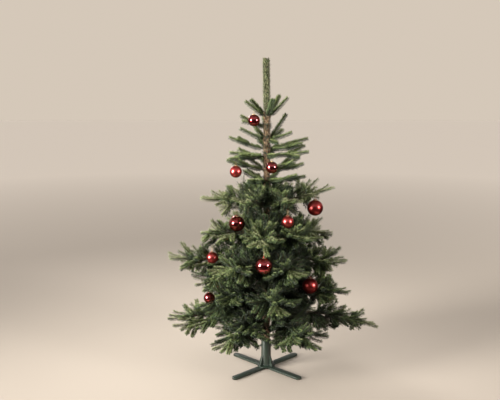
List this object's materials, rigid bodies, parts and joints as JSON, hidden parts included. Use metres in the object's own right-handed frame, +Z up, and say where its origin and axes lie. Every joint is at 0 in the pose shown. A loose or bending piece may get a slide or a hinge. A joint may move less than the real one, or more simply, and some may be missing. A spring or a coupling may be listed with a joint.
{
  "type": "artificial christmas tree",
  "caption": "Artificial fir Christmas tree on a crossed steel stand: a wrapped pole with bare whorls of shoots and a tall leader above, full tiers of needled boughs below.",
  "frame": {"origin": "centre of the flat underside of the stand's lower crossed bar, on the floor", "axes": "+Z up along the pole, +X to the right and -Y towards the viewer of the front of the tree"},
  "size_m": [1.062, 0.7929, 1.6],
  "materials": {
    "bark_wrap": "rough wrapped bark, tan and brown",
    "limb": "dark green-brown wrapped wire",
    "needles": "matt soft plastic needles, dark to mid green",
    "stand_paint": "dark green satin paint",
    "bright_steel": "zinc-plated",
    "bauble_gloss": "mirror-gloss deep red ball",
    "bauble_satin": "satin red ball",
    "bauble_cap": "pale gold cap and loop"
  },
  "bodies": {
    "root": {"clamp_screw_1": "bright_steel", "clamp_screw_2": "bright_steel", "leader_foliage": "needles", "stand_bar_lower": "stand_paint", "stand_bar_upper": "stand_paint", "stand_socket": "stand_paint", "tier1_bough_1": "limb", "tier1_bough_2": "limb", "tier1_bough_3": "limb", "tier1_bough_4": "limb", "tier1_bough_5": "limb", "tier1_bough_6": "limb", "tier1_foliage_1": "needles", "tier1_foliage_2": "needles", "tier1_foliage_3": "needles", "tier1_foliage_4": "needles", "tier1_foliage_5": "needles", "tier1_foliage_6": "needles", "tier2_bough_1": "limb", "tier2_bough_2": "limb", "tier2_bough_3": "limb", "tier2_bough_4": "limb", "tier2_bough_5": "limb", "tier2_foliage_1": "needles", "tier2_foliage_2": "needles", "tier2_foliage_3": "needles", "tier2_foliage_4": "needles", "tier2_foliage_5": "needles", "tier3_bough_1": "limb", "tier3_bough_2": "limb", "tier3_bough_3": "limb", "tier3_bough_4": "limb", "tier3_bough_5": "limb", "tier3_bough_6": "limb", "tier3_foliage_1": "needles", "tier3_foliage_2": "needles", "tier3_foliage_3": "needles", "tier3_foliage_4": "needles", "tier3_foliage_5": "needles", "tier3_foliage_6": "needles", "tier4_foliage_1": "needles", "tier4_foliage_2": "needles", "tier4_foliage_3": "needles", "tier4_foliage_4": "needles", "tier4_foliage_5": "needles", "tier4_foliage_6": "needles", "tier5_foliage_1": "needles", "tier5_foliage_2": "needles", "tier5_foliage_3": "needles", "tier5_foliage_4": "needles", "tier5_foliage_5": "needles", "tier5_foliage_6": "needles", "trunk": "bark_wrap", "whorl_foliage_1": "needles", "whorl_foliage_2": "needles", "whorl_foliage_3": "needles", "whorl_foliage_4": "needles", "whorl_foliage_5": "needles", "whorl_foliage_6": "needles", "whorl_foliage_7": "needles"}
  },
  "joints": []
}
